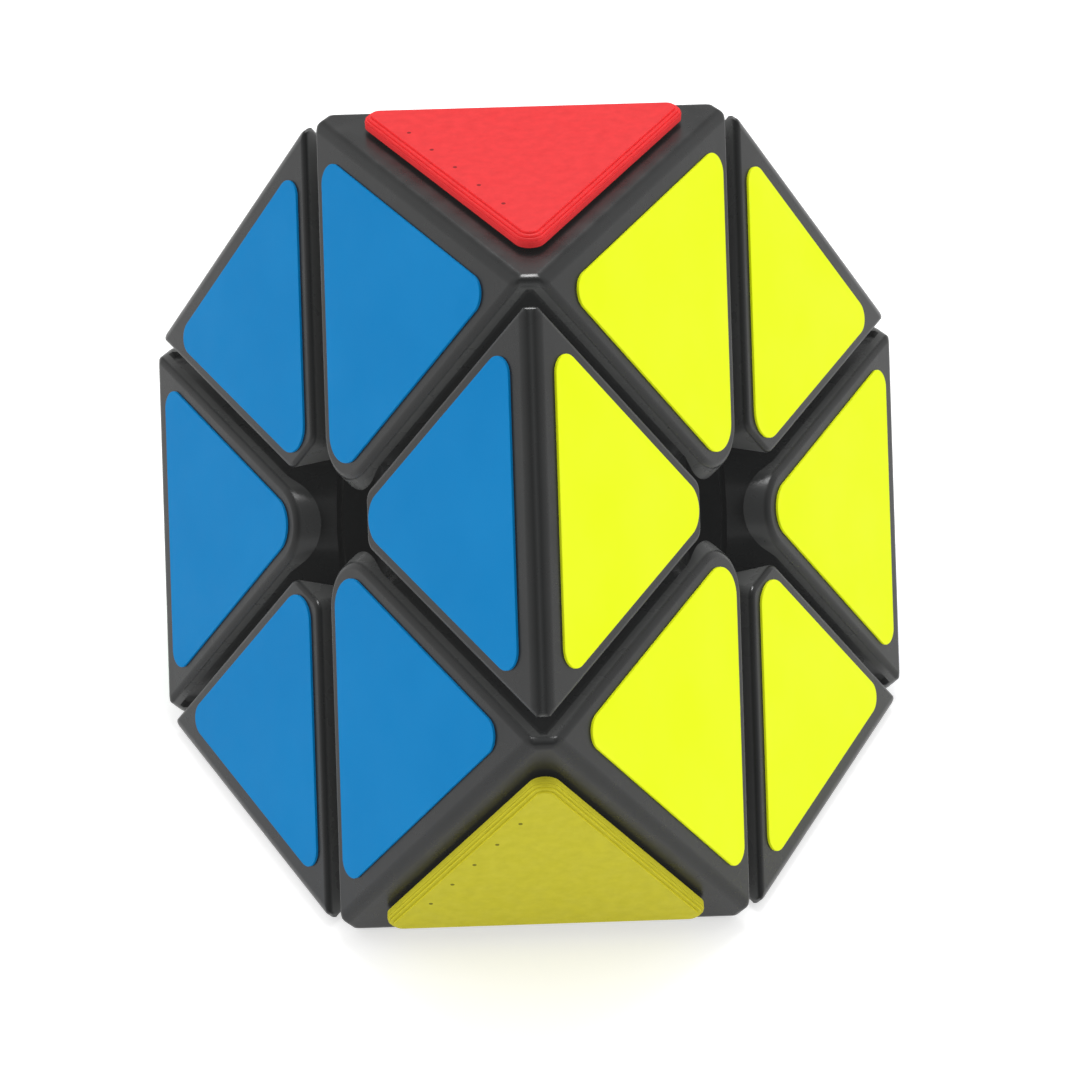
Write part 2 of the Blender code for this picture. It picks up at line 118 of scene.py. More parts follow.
HUB_ROOM = 16.8 * MM  # radius of the ball that the hubs need
NECK_HALF_LENGTH = 7.3 * MM
NECK_ROOM = 18.1 * MM
CAP_HOLE = 4.0 * MM  # radius
CAP_PLUG = 3.7 * MM  # radius
CAP_PLUG_LENGTH = 3.4 * MM

STICKER_BOTTOM = FACE + 0.005 * MM
CORNER_STICKER = {"apex": 3.17 * MM, "base": 25.75 * MM, "apex_radius": 2.34 * MM, "base_radius": 1.45 * MM}
EDGE_STICKER = {"apex": 4.77 * MM, "base": 25.90 * MM, "apex_radius": 2.14 * MM, "base_radius": 1.48 * MM}
STICKER_ROUNDING = 0.05 * MM
STICKER_ROUNDING_STEPS = 4
ARC_STEPS = 14  # round each corner of a sticker or cap
ROD_STEPS = 48
BALL_SUBDIVISIONS = 4

CAP_SIDE = 26.35 * MM
CAP_CORNER_RADIUS = 1.2 * MM
CAP_LIFT = 0.32 * MM
LAYER_HEIGHT = 0.18 * MM  # of the print
LAYER_GROOVE = 0.012 * MM
CAP_LAYER_INSETS = (0.0, 0.0, 0.0, 0.06 * MM, 0.24 * MM, 0.50 * MM)
PIT_ROW = 1.5 * MM  # a cap's side to its row of tiny print marks
PIT_SPACING = 3.5 * MM
PIT_SIZE = 0.16 * MM
PIT_ROW_HALF_LENGTH = 8.5 * MM

# ---------------------------------------------------------------------------------------------
# Names and directions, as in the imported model
# ---------------------------------------------------------------------------------------------

SAME_DIRECTION = 1e-3  # two unit vectors closer than this are the same
THIRD_ANGLE = math.radians(120.0)
TILT = math.acos(-1.0 / 3.0)  # between two of the axes
AXIS = {
    "top": Vector((0.0, 0.0, 1.0)),
    "front": Vector((0.0, -math.sin(TILT), math.cos(TILT))),
}
AXIS["right"] = Matrix.Rotation(THIRD_ANGLE, 3, "Z") @ AXIS["front"]
AXIS["left"] = Matrix.Rotation(-THIRD_ANGLE, 3, "Z") @ AXIS["front"]
CORNERS = ("top", "front", "left", "right")
SIDES = ("front", "left", "right")
EDGES = (
    ("top", "front"),
    ("top", "left"),
    ("top", "right"),
    ("front", "left"),
    ("front", "right"),
    ("left", "right"),
)
RIDGE = (AXIS["top"] + AXIS["front"]).normalized()  # from the centre to the front ridge
ACROSS_RIDGE = AXIS["top"].cross(AXIS["front"]).normalized()
FACE_COLOUR = {"right": "blue", "left": "yellow", "front": "green", "top": "red"}
CAP_COLOUR = {"top": "cap_red", "front": "cap_yellow", "left": "cap_green", "right": "cap_blue"}
CAP_SHIFT = {  # the two caps in the photograph sit a little off centre
    "top": Vector((0.17, -0.28, 0.0)) * MM,
    "front": Vector((0.0, -0.10, 0.28)) * MM,
}


def facing(first, second):
    """A rotation that has one axis along Z and leans towards a second one."""
    lean = (second - first * first.dot(second)).normalized()
    return Matrix((first, lean, first.cross(lean))).transposed()


def turn_to(source, target):
    """The rotation that takes one pair of axes to another pair."""
    start = facing(AXIS[source[0]], AXIS[source[1]])
    return facing(AXIS[target[0]], AXIS[target[1]]) @ start.transposed()


def own_rotation(corner):
    """The rotation that takes the top corner's pieces to another corner."""
    other = next(name for name in CORNERS if name != corner)
    return turn_to(("top", "front"), (corner, other))


def cap_shift(corner):
    """How far a corner's cap sits off the middle."""
    return CAP_SHIFT.get(corner, Vector())


def edge_rotation(first, second, opposite):
    """The rotation that takes the front ridge's blue side to an edge's side opposite a corner."""
    for one, other in ((first, second), (second, first)):
        rotation = turn_to(("top", "right"), (one, opposite))
        if (rotation @ AXIS["front"] - AXIS[other]).length < SAME_DIRECTION:
            return rotation
    raise ValueError(f"no turn takes the front edge to {first}-{second}")


def along_face(direction, opposite):
    """The way that a direction points, seen in the face opposite a corner."""
    outward = -AXIS[opposite]
    return (direction - outward * direction.dot(outward)).normalized()


# ---------------------------------------------------------------------------------------------
# Modelling helpers
# ---------------------------------------------------------------------------------------------

BLANK_SIZE = 10.0 * FACE  # the cube that every block is cut from
SAME_PLACE = 0.001 * MM  # points closer than this become one
SHARP_ANGLE = math.radians(40.0)  # shading stays smooth across anything flatter
FLATNESS_WEIGHT = 80  # how strongly a big flat face holds its shading
WORKSHOP = bpy.data.collections.new("Workshop")
bpy.context.scene.collection.children.link(WORKSHOP)


def workpiece(name, mesh):
    """An object that only helps to make a mesh. All of them are removed at the end."""
    obj = bpy.data.objects.new("work_" + name, mesh)
    WORKSHOP.objects.link(obj)
    return obj


def mesh_from(name, bm):
    """Turns an edit mesh into a mesh, with its faces turned outwards."""
    bmesh.ops.recalc_face_normals(bm, faces=bm.faces)
    mesh = bpy.data.meshes.new(name)
    bm.to_mesh(mesh)
    bm.free()
    return mesh


def finished(obj, name):
    """The mesh of an object with its modifiers applied."""
    bpy.context.view_layer.update()
    graph = bpy.context.evaluated_depsgraph_get()
    mesh = bpy.data.meshes.new_from_object(obj.evaluated_get(graph))
    mesh.name = name
    return mesh


def block(name, limits):
    """The convex solid where direction . point <= distance for each (direction, distance)."""
    bm = bmesh.new()
    bmesh.ops.create_cube(bm, size=BLANK_SIZE)
    for direction, distance in limits:
        cut = bmesh.ops.bisect_plane(
            bm,
            geom=bm.verts[:] + bm.edges[:] + bm.faces[:],
            plane_co=direction * distance,
            plane_no=direction,
            clear_outer=True,
        )
        rim = [item for item in cut["geom_cut"] if isinstance(item, bmesh.types.BMEdge)]
        bmesh.ops.contextual_create(bm, geom=rim)
    bmesh.ops.remove_doubles(bm, verts=bm.verts, dist=SAME_PLACE)
    return workpiece(name, mesh_from(name, bm))


def rounding(first, second, radius):
    """Planes that touch a cylinder of that radius laid in the edge between two planes."""
    (one, one_far), (two, two_far) = first, second
    slant = one.dot(two)
    one_level = one_far - radius
    two_level = two_far - radius
    middle = one * (one_level - slant * two_level) + two * (two_level - slant * one_level)
    middle /= 1.0 - slant * slant
    planes = []
    for step in range(1, PLANES_IN_A_ROUNDING):
        direction = one.slerp(two, step / PLANES_IN_A_ROUNDING)
        planes.append((direction, middle.dot(direction) + radius))
    return planes


def ball(name, radius):
    bm = bmesh.new()
    bmesh.ops.create_icosphere(bm, subdivisions=BALL_SUBDIVISIONS, radius=radius)
    return workpiece(name, mesh_from(name, bm))


def rod(name, radius, low, high):
    """A cylinder along the top axis."""
    bm = bmesh.new()
    bmesh.ops.create_cone(
        bm,
        cap_ends=True,
        segments=ROD_STEPS,
        radius1=radius,
        radius2=radius,
        depth=high - low,
        matrix=Matrix.Translation((0.0, 0.0, (low + high) / 2.0)),
    )
    return workpiece(name, mesh_from(name, bm))


def is_among(direction, directions):
    return any((direction - other).length < SAME_DIRECTION for other in directions)


def round_outline(obj, outside, seam_radius):
    """Rounds every edge of the outside: ridges, rims of the cut-off tips, and seams."""
    bm = bmesh.new()
    bm.from_mesh(obj.data)
    bm.normal_update()
    weight = bm.edges.layers.float.new("bevel_weight_edge")
    widths = {}
    for edge in bm.edges:
        one, two = (face.normal for face in edge.link_faces)
        turn = one.angle(two)
        outer_faces = is_among(one, outside) + is_among(two, outside)
        if outer_faces == 0:
            continue
        if outer_faces == 1:
            radius = seam_radius
        elif turn < math.pi / 2.0:
            radius = RIM_RADIUS
        else:
            radius = RIDGE_RADIUS
        widths[edge] = radius * math.tan(turn / 2.0)
    widest = max(widths.values())
    for edge, width in widths.items():
        edge[weight] = width / widest
    bm.to_mesh(obj.data)
    bm.free()
    bevel = obj.modifiers.new("rounding", "BEVEL")
    bevel.limit_method = "WEIGHT"
    bevel.width = widest
    bevel.segments = BEVEL_STEPS
    bevel.use_clamp_overlap = False


def combine(name, base, *steps):
    """The mesh left after each (operation, tool) in turn has acted on the base."""
    for number, (operation, tool) in enumerate(steps):
        modifier = base.modifiers.new(f"{number}_{operation.lower()}", "BOOLEAN")
        modifier.operation = operation
        modifier.object = tool
    return smoothed(finished(base, name), name)


def smoothed(mesh, name):
    """Smooth shading that keeps flats flat: big faces set the normals at their rims."""
    mesh.shade_smooth()
    mesh.set_sharp_from_angle(angle=SHARP_ANGLE)
    obj = workpiece(name + "_shading", mesh)
    shading = obj.modifiers.new("flats", "WEIGHTED_NORMAL")
    shading.keep_sharp = True
    shading.weight = FLATNESS_WEIGHT
    return finished(obj, name)


def rounded_triangle(apex, base, apex_radius, base_radius, inset=0.0):
    """Outline of an equilateral triangle with its apex at y = apex and its base at y = base."""
    apex += 2.0 * inset
    base -= inset
    half_width = (base - apex) * math.tan(math.radians(30.0))
    corners = (
        (0.0, apex, -90.0, apex_radius - inset),
        (half_width, base, 30.0, base_radius - inset),
        (-half_width, base, 150.0, base_radius - inset),
    )
    outline = []
    for x, y, way, radius in corners:
        out = math.radians(way)
        middle_x = x - 2.0 * radius * math.cos(out)
        middle_y = y - 2.0 * radius * math.sin(out)
        for step in range(ARC_STEPS + 1):
            angle = math.radians(way - 60.0 + 120.0 * step / ARC_STEPS)
            outline.append((middle_x + radius * math.cos(angle), middle_y + radius * math.sin(angle)))
    return outline


def stacked(name, rings):
    """A solid through outlines at rising heights, each (outline, height)."""
    bm = bmesh.new()
    loops = []
    for outline, height in rings:
        loops.append([bm.verts.new((x, y, height)) for x, y in outline])
    for low, high in itertools.pairwise(loops):
        for number in range(len(low)):
            following = (number + 1) % len(low)
            bm.faces.new((low[number], low[following], high[following], high[number]))
    bm.faces.new(list(reversed(loops[0])))
    bm.faces.new(loops[-1])
    return mesh_from(name, bm)


# ---------------------------------------------------------------------------------------------
# Shells
# ---------------------------------------------------------------------------------------------


def corner_limits(skin, inset, tip_radius):
    """The planes of a corner piece: the outside moved in by skin, the walls by inset."""
    top = AXIS["top"]
    limits = [(top, TRUNCATION - skin), (-top, -(LAYER_FLOOR + inset))]
    for side in SIDES:
        limits.append((-AXIS[side], FACE - skin))
    walls = [(AXIS[side], CORNER_WALL - inset) for side in SIDES]
    for first, second in itertools.combinations(walls, 2):
        limits += rounding(first, second, tip_radius)
    return limits + walls


def edge_limits(skin, inset):
    """The planes of the edge piece on the front ridge. Its ends stand square to the faces."""
    walls = [(-AXIS[corner], -(LAYER_FLOOR + inset)) for corner in ("top", "front")]
    limits = list(walls)
    for opposite in ("left", "right"):
        limits.append((-AXIS[opposite], FACE - skin))
        end = (-along_face(RIDGE, opposite), -(EDGE_END + inset))
        limits.append(end)
        for wall in walls:
            limits += rounding(wall, end, EDGE_END_RADIUS)
    return limits


def ridge_ends():
    """The planes that round the two points where the front ridge runs into its piece's walls."""
    slant = RIDGE.dot(-AXIS["left"])
    ridge = (RIDGE, FACE / slant - RIDGE_RADIUS * (1.0 / slant - 1.0))
    limits = []
    for corner in ("top", "front"):
        limits += rounding((-AXIS[corner], -LAYER_FLOOR), ridge, RIDGE_END_RADIUS)
    return limits


def under_skin(name, hulls, facets):
    """Everything below the outer skin, which gets thicker towards the blunt end of each facet."""
    limits = [(direction, distance - SEAM_LIP) for direction, distance in hulls]
    for outward, along in facets:
        slanted = outward - along * TIP_LIP_SLOPE
        level = FACE - SEAM_LIP - TIP_LIP_SLOPE * TIP_LIP_REACH
        limits.append((slanted.normalized(), level / slanted.length))
    return block(name, limits)


def corner_shell_mesh():
    """A corner piece: an outer skin with a lip all round, on a body that stands back."""
    top = AXIS["top"]
    hulls = [(top, TRUNCATION)] + [(-AXIS[side], FACE) for side in SIDES]
    facets = [(-AXIS[side], along_face(top, side)) for side in SIDES]
    inside = WALL + UNDERCUT
    shell = block("corner_blank", corner_limits(0.0, 0.0, CORNER_TIP_RADIUS))
    round_outline(shell, [direction for direction, _ in hulls], CORNER_SEAM_RADIUS)
    return combine(
        "corner_shell",
        shell,
        ("DIFFERENCE", under_skin("corner_under_skin", hulls, facets)),
        ("UNION", block("corner_body", corner_limits(BODY_SKIN, UNDERCUT, BODY_TIP_RADIUS))),
        ("DIFFERENCE", block("corner_hollow", corner_limits(inside, inside, BODY_TIP_RADIUS))),
        ("DIFFERENCE", ball("corner_seat", HUB_ROOM)),
        ("DIFFERENCE", rod("cap_hole", CAP_HOLE, TRUNCATION - 2.0 * WALL, TRUNCATION + WALL)),
    )


def neck_room():
    """Room under an edge's shell for the neck of its foot."""
    along_ridge = ACROSS_RIDGE.cross(RIDGE)
    limits = [(RIDGE, NECK_ROOM), (-RIDGE, 0.0)]
    for way in (ACROSS_RIDGE, -ACROSS_RIDGE):
        limits.append((way, NECK_HALF_LENGTH))
    for way in (along_ridge, -along_ridge):
        limits.append((way, FACE))
    return block("neck_room", limits)


def edge_shell_mesh():
    """The walls of an edge piece go straight down, without the lips of a corner."""
    shell = block("edge_blank", edge_limits(0.0, 0.0))
    round_outline(shell, [-AXIS["left"], -AXIS["right"]], EDGE_SEAM_RADIUS)
    return combine(
        "edge_shell",
        shell,
        ("INTERSECT", block("edge_ridge_ends", ridge_ends())),
        ("DIFFERENCE", block("edge_hollow", edge_limits(WALL, WALL))),
        ("DIFFERENCE", neck_room()),
        ("DIFFERENCE", ball("edge_seat", HUB_ROOM)),
    )


# ---------------------------------------------------------------------------------------------
# Stickers and caps
# ---------------------------------------------------------------------------------------------


def sticker_mesh(name, shape):
    """A sticker lying on a face at its true distance from the centre, base towards +Y."""
    rings = [(rounded_triangle(**shape), STICKER_BOTTOM)]
    for step in range(STICKER_ROUNDING_STEPS + 1):
        angle = math.radians(90.0 * step / STICKER_ROUNDING_STEPS)
        inset = STICKER_ROUNDING * (1.0 - math.cos(angle))
        height = STICKER_TOP - STICKER_ROUNDING * (1.0 - math.sin(angle))
        rings.append((rounded_triangle(**shape, inset=inset), height))
    return smoothed(stacked(name, rings), name)


def sticker_frame(towards, opposite):
    """The turn from a sticker's own X, Y, Z to a face, with its base towards a direction."""
    outward = -AXIS[opposite]
    up = along_face(towards, opposite)
    return Matrix((up.cross(outward), up, outward)).transposed()


def cap_mesh():
    """The top cap: printed layers with a fine groove between each two, and a plug below."""
    shape = {
        "apex": -CAP_SIDE / math.sqrt(3.0),
        "base": CAP_SIDE / math.sqrt(12.0),
        "apex_radius": CAP_CORNER_RADIUS,
        "base_radius": CAP_CORNER_RADIUS,
    }
    low = TRUNCATION + CAP_LIFT
    rings = []
    for number, inset in enumerate(CAP_LAYER_INSETS):
        floor = low + number * LAYER_HEIGHT
        groove = inset + LAYER_GROOVE
        for own_inset, height in (
            (groove, floor),
            (inset, floor + LAYER_GROOVE),
            (inset, floor + LAYER_HEIGHT - LAYER_GROOVE),
            (groove, floor + LAYER_HEIGHT - 0.2 * LAYER_GROOVE),
        ):
            rings.append((rounded_triangle(**shape, inset=own_inset), height))
    cover = workpiece("cap_cover", stacked("cap_cover", rings))
    plug = rod("cap_plug", CAP_PLUG, low - CAP_PLUG_LENGTH, low + LAYER_HEIGHT)
    return combine("cap", cover, ("UNION", plug))


# ---------------------------------------------------------------------------------------------
# Materials
# ---------------------------------------------------------------------------------------------


class Nodes:
    """Helpers to make and join shader nodes. place is the point, or for the world the direction."""

    def __init__(self, tree, place):
        self.tree = tree
        self.place = self.node("ShaderNodeTexCoord").outputs[place]

    def node(self, kind, inputs=None, **settings):
        made = self.tree.nodes.new(kind)
        for name, value in settings.items():
            setattr(made, name, value)
        for key, value in (inputs or {}).items():
            self.feed(made.inputs[key], value)
        return made

    def feed(self, socket, value):
        if isinstance(value, bpy.types.NodeSocket):
            self.tree.links.new(value, socket)
        else:
            socket.default_value = value

    def math(self, operation, one, two=0.0):
        return self.node("ShaderNodeMath", {0: one, 1: two}, operation=operation).outputs[0]

    def along(self, direction, vector=None):
        """How far a point, or another vector, reaches in a direction."""
        inputs = {0: vector or self.place, 1: direction}
        return self.node("ShaderNodeVectorMath", inputs, operation="DOT_PRODUCT").outputs["Value"]

    def spread(self, value, low, high, to_low=0.0, to_high=1.0):
        """Maps low..high to to_low..to_high, and holds the ends."""
        inputs = {"Value": value, "From Min": low, "From Max": high, "To Min": to_low, "To Max": to_high}
        return self.node("ShaderNodeMapRange", inputs).outputs["Result"]


class Finish(Nodes):
    """A procedural material. Its patterns are fixed to the piece, in metres."""

    def __init__(self, name):
        self.material = bpy.data.materials.new(name)
        self.material.use_nodes = True
        super().__init__(self.material.node_tree, "Object")
        self.shader = self.tree.nodes["Principled BSDF"]

    def shade(self, **values):
        """Sets the shader's sockets, with underscores for spaces in their names."""
        for name, value in values.items():
            self.feed(self.shader.inputs[name.replace("_", " ")], value)

    def surface_normal(self):
        return self.node("ShaderNodeTexCoord").outputs["Normal"]

    def noise(self, size, detail=2.0, place=None):
        """Soft blotches of about that size."""
        inputs = {"Vector": place or self.place, "Scale": 1.0 / size, "Detail": detail}
        return self.node("ShaderNodeTexNoise", inputs).outputs["Fac"]

    def mix(self, factor, one, two):
        made = self.node("ShaderNodeMix", {0: factor, 6: one, 7: two}, data_type="RGBA")
        return made.outputs[2]

    def bump(self, height, depth, under=None):
        inputs = {"Height": height, "Distance": depth, "Strength": 1.0}
        if under is not None:
            inputs["Normal"] = under
        return self.node("ShaderNodeBump", inputs).outputs["Normal"]

    def depth(self):
        """How far a point lies below the puzzle's whole outside, for a piece made in its place."""
        found = None
        for corner in CORNERS:
            for way, level in ((-AXIS[corner], FACE), (AXIS[corner], TRUNCATION)):
                below = self.math("SUBTRACT", level, self.along(way))
                found = below if found is None else self.math("MINIMUM", found, below)
        return found

    def specks(self, spacing, share, size):
        """A few small dots: 1 on a dot, 0 elsewhere. share is how many cells hold one."""
        cells = self.node("ShaderNodeTexVoronoi", {"Vector": self.place, "Scale": 1.0 / spacing})
        lot = self.node("ShaderNodeSeparateColor", {0: cells.outputs["Color"]}).outputs[0]
        held = self.math("LESS_THAN", lot, share)
        dot = self.math("LESS_THAN", cells.outputs["Distance"], size / spacing)
        return self.math("MULTIPLY", held, dot)

    def pits(self, outward, level):
        """A straight row of small dots, at a level in a direction and square to it."""
        across = self.math("SUBTRACT", self.along(outward), level)
        along = self.along(outward.cross(AXIS["top"]))
        in_row = self.math("LESS_THAN", self.math("ABSOLUTE", along), PIT_ROW_HALF_LENGTH)
        half = PIT_SPACING / 2.0
        moved = self.math("FLOORED_MODULO", self.math("ADD", along, half), PIT_SPACING)
        beside = self.math("SUBTRACT", moved, half)
        squared = self.math("ADD", self.math("POWER", across, 2.0), self.math("POWER", beside, 2.0))
        in_pit = self.math("LESS_THAN", self.math("SQRT", squared), PIT_SIZE)
        return self.math("MULTIPLY", in_row, in_pit)


def rgb(red, green, blue):
    return (red, green, blue, 1.0)


def shade_of(colour, times):
    """A colour made darker or paler, up to white."""
    red, green, blue = (min(1.0, times * value) for value in colour[:3])
    return rgb(red, green, blue)


# Painted glow: the black plastics below give out this faint light of their own.
PAINTED_GLOW = rgb(1.0, 1.02, 1.02)
PAINTED_GLOW_STRENGTH = 0.010  # dark places in the photograph are grey: its lens spreads a little light
SHELL_BLACK = rgb(0.0045, 0.005, 0.005)
SHELL_HAZY = rgb(0.0075, 0.008, 0.008)
# Painted shade: the darker black of the seam walls deep down and where they face the front.
SEAM_SHADE_BLACK = rgb(0.028, 0.029, 0.029)
DUST = rgb(0.45, 0.44, 0.42)
SEAM_START = 0.25 * MM  # below the outside, where the painted light on the seam walls begins
SEAM_FULL = 0.45 * MM
FRONT_SHADE_FROM = 0.50  # how far a wall faces the front where the painted shade on it begins
FRONT_SHADE_TO = 0.85
PIT_SHADE = 0.35
CAP_SIDE_PAINTED_LIGHT = 1.35  # painted light: a cap's sides are made paler than its top
PRINT_LINES = 3.2 * MM


def shell_finish(name, seam_light_tone, seam_floor):
    """Satin black moulded plastic: a faint blotchy haze, fine grain and dust specks.

    Its walls in the seams are painted pale grey, painted light for the light that falls into them. This
    painted light gives way to a darker black deep down and on the walls that face the front, painted shade.
    """
    made = Finish(name)
    haze = made.spread(made.noise(6.0 * MM, 4.0), 0.35, 0.70)
    colour = made.mix(haze, SHELL_BLACK, SHELL_HAZY)
    depth = made.depth()
    # painted light: below SEAM_START the walls are painted a pale grey
    in_seam = made.spread(depth, SEAM_START, SEAM_FULL)
    # painted shade: walls that face the front, and the deepest parts, go back to a darker black
    painted_front_shade = made.spread(made.along(RIDGE, made.surface_normal()), FRONT_SHADE_FROM, FRONT_SHADE_TO)
    deep = made.spread(depth, 0.70 * seam_floor, seam_floor)
    grey = rgb(seam_light_tone, seam_light_tone * 1.02, seam_light_tone)
    painted_seam_light = made.mix(haze, shade_of(grey, 0.92), shade_of(grey, 1.06))
    wall = made.mix(made.math("MAXIMUM", deep, painted_front_shade), painted_seam_light, SEAM_SHADE_BLACK)
    colour = made.mix(in_seam, colour, wall)
    specks = made.specks(2.2 * MM, 0.05, 0.035 * MM)
    colour = made.mix(specks, colour, DUST)
    rough = made.spread(made.noise(2.5 * MM, 5.0), 0.30, 0.72, 0.24, 0.34)
    rough = made.math("ADD", rough, made.math("MULTIPLY", specks, 0.4))
    waves = made.bump(made.noise(1.2 * MM, 2.0), 0.006 * MM)
    grain = made.bump(made.noise(0.12 * MM, 2.0), 0.0012 * MM, waves)
    made.shade(Base_Color=colour, Roughness=rough, Normal=grain, Specular_IOR_Level=0.26)
    # painted glow: the plastic gives out a faint light of its own
    made.shade(Emission_Color=PAINTED_GLOW, Emission_Strength=PAINTED_GLOW_STRENGTH)
    return made.material


def inner_finish():
    """Black plastic of the hubs and feet, matt with fine dust, and marks from sliding. It has a faint
    painted glow.
    """
    made = Finish("inner_black_moulded")
    wear = made.spread(made.noise(1.5 * MM, 6.0), 0.45, 0.75)
    colour = made.mix(wear, rgb(0.022, 0.023, 0.023), rgb(0.032, 0.033, 0.033))
    rough = made.spread(made.noise(0.7 * MM, 4.0), 0.3, 0.7, 0.40, 0.60)
    grain = made.bump(made.noise(0.2 * MM, 3.0), 0.002 * MM)
    made.shade(Base_Color=colour, Roughness=rough, Normal=grain, Specular_IOR_Level=0.20)
    # painted glow: the plastic gives out a faint light of its own
    made.shade(Emission_Color=PAINTED_GLOW, Emission_Strength=PAINTED_GLOW_STRENGTH)
    return made.material


def core_finish():
    """White nylon with a slight mottle."""
    made = Finish("core_white_moulded")
    mottle = made.spread(made.noise(1.8 * MM, 4.0), 0.3, 0.7)
    colour = made.mix(mottle, rgb(0.66, 0.65, 0.61), rgb(0.76, 0.75, 0.71))
    rough = made.spread(made.noise(0.8 * MM, 3.0), 0.3, 0.7, 0.38, 0.55)
    grain = made.bump(made.noise(0.25 * MM, 2.0), 0.003 * MM)
    made.shade(Base_Color=colour, Roughness=rough, Normal=grain)
    return made.material


def steel_finish():
    """Turned steel: a fine grain and light smears."""
    made = Finish("steel_turned")
    smear = made.spread(made.noise(0.9 * MM, 5.0), 0.35, 0.7)
    colour = made.mix(smear, rgb(0.58, 0.58, 0.57), rgb(0.42, 0.41, 0.40))
    rough = made.spread(made.noise(0.5 * MM, 4.0), 0.3, 0.7, 0.22, 0.40)
    grain = made.bump(made.noise(0.08 * MM, 2.0), 0.002 * MM)
    made.shade(Base_Color=colour, Roughness=rough, Normal=grain, Metallic=1.0)
    return made.material


def sticker_finish(name, main, faded):
    """Printed vinyl film with a faint unevenness and fine wear."""
    made = Finish(name)
    turn = made.node("ShaderNodeObjectInfo").outputs["Random"]
    moved = made.node("ShaderNodeVectorMath", {0: made.place, 1: turn}, operation="ADD")
    own = moved.outputs["Vector"]
    fade = made.spread(made.noise(9.0 * MM, 3.0, own), 0.35, 0.75)
    colour = made.mix(fade, main, faded)
    rough = made.spread(made.noise(3.0 * MM, 5.0, own), 0.3, 0.7, 0.34, 0.46)
    waves = made.bump(made.noise(2.5 * MM, 2.0, own), 0.004 * MM)
    grain = made.bump(made.noise(0.10 * MM, 2.0, own), 0.0008 * MM, waves)
    made.shade(Base_Color=colour, Roughness=rough, Normal=grain, Specular_IOR_Level=0.03)
    return made.material


def cap_finish(name, main, dark, pit_side, corner):
    """Printed plastic with painted light that makes its sides paler: fine lines, mottling and a row of pits
    along one side.

    Its patterns are laid out on the top cap and turned to the corner that the cap sits on.
    """
    made = Finish(name)
    turn = own_rotation(corner).to_euler()
    own = {"Vector": made.place, "Location": cap_shift(corner), "Rotation": turn}
    made.place = made.node("ShaderNodeMapping", own, vector_type="TEXTURE").outputs["Vector"]
    mottle = made.spread(made.noise(0.9 * MM, 4.0), 0.35, 0.70)
    colour = made.mix(mottle, main, dark)
    outward = Vector((-AXIS[pit_side].x, -AXIS[pit_side].y, 0.0)).normalized()
    pits = made.pits(outward, CAP_SIDE / math.sqrt(12.0) - PIT_ROW)
    colour = made.mix(pits, colour, shade_of(dark, PIT_SHADE))
    # painted light: faces that turn away from the corner's axis are made paler
    side = made.spread(made.along(AXIS[corner], made.surface_normal()), 0.9, 0.6)
    colour = made.mix(side, colour, shade_of(main, CAP_SIDE_PAINTED_LIGHT))
    rough = made.spread(made.noise(1.5 * MM, 3.0), 0.3, 0.7, 0.42, 0.58)
    lines = made.node(
        "ShaderNodeTexWave",
        {"Vector": made.place, "Scale": 1.0 / PRINT_LINES, "Distortion": 0.4, "Detail": 2.0},
        bands_direction="DIAGONAL",
    ).outputs["Fac"]
    print_lines = made.bump(lines, 0.004 * MM)
    grain = made.bump(made.noise(0.3 * MM, 3.0), 0.010 * MM, print_lines)
    made.shade(Base_Color=colour, Roughness=rough, Normal=grain, Specular_IOR_Level=0.06)
    return made.material


FINISHES = {
    "corner_black": shell_finish("shell_black_corner", 0.100, 1.8 * MM),
    "edge_black": shell_finish("shell_black_edge", 0.115, 5.0 * MM),
    "inner_black": inner_finish(),
    "core_white": core_finish(),
    "steel": steel_finish(),
    "blue": sticker_finish("sticker_blue_film", rgb(0.003, 0.222, 0.552), rgb(0.006, 0.238, 0.578)),
    "yellow": sticker_finish("sticker_yellow_film", rgb(0.87, 1.0, 0.009), rgb(0.89, 1.0, 0.022)),
    "green": sticker_finish("sticker_green_film", rgb(0.015, 0.400, 0.080), rgb(0.022, 0.430, 0.100)),
    "red": sticker_finish("sticker_red_film", rgb(0.600, 0.016, 0.022), rgb(0.650, 0.024, 0.030)),
    "cap_red": cap_finish(
        "cap_red_print", rgb(0.87, 0.040, 0.044), rgb(0.79, 0.033, 0.037), "right", "top"
    ),
    "cap_yellow": cap_finish(
        "cap_yellow_print", rgb(0.55, 0.505, 0.030), rgb(0.50, 0.46, 0.024), "left", "front"
    ),
    "cap_green": cap_finish(
        "cap_green_print", rgb(0.05, 0.40, 0.110), rgb(0.04, 0.34, 0.090), "right", "left"
    ),
    "cap_blue": cap_finish(
        "cap_blue_print", rgb(0.04, 0.20, 0.520), rgb(0.03, 0.17, 0.450), "left", "right"
    ),
}
INNER_FINISH = {
    "corner_hub": "inner_black",
    "edge_foot": "inner_black",
    "core": "core_white",
    "screw": "steel",
    "spring": "steel",
}

# ---------------------------------------------------------------------------------------------
# Assembly
# ---------------------------------------------------------------------------------------------


def add_piece(name, template, place, body, finish, replaced):
    """One visible piece. Its mesh is moved, not the object, so that its patterns differ from its twins'."""
    mesh = template.copy()
    mesh.materials.clear()
    mesh.materials.append(FINISHES[finish])
    mesh.transform(place.to_4x4())
    obj = bpy.data.objects.new(name, mesh)
    bpy.context.scene.collection.objects.link(obj)
    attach(obj, body)
    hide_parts(replaced)


